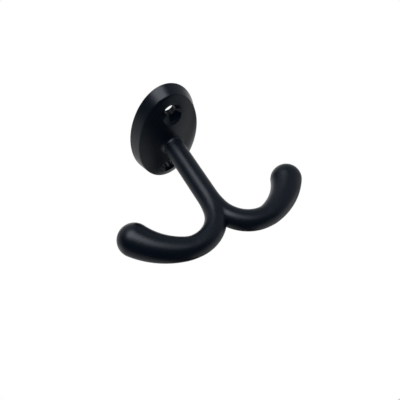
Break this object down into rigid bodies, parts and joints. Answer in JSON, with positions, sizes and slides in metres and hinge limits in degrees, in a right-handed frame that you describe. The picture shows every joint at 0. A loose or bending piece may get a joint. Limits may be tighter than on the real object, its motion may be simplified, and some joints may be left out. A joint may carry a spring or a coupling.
{
  "type": "anchor hook",
  "caption": "Coat hook shaped like an anchor: an oval screw plate, a straight stem and opposed curved arms that swell to round tips, made to hang under a shelf.",
  "frame": {"origin": "centre of the oval back face, on the plane that meets the shelf", "axes": "+Z out of the back face into the shelf, so the stem hangs along -Z; arms spread along X; screws in line along Y"},
  "size_m": [0.0786, 0.0498, 0.0605],
  "materials": {
    "black_coat": "satin black powder coat"
  },
  "bodies": {
    "root": {"anchor_hook": "black_coat"}
  },
  "joints": []
}
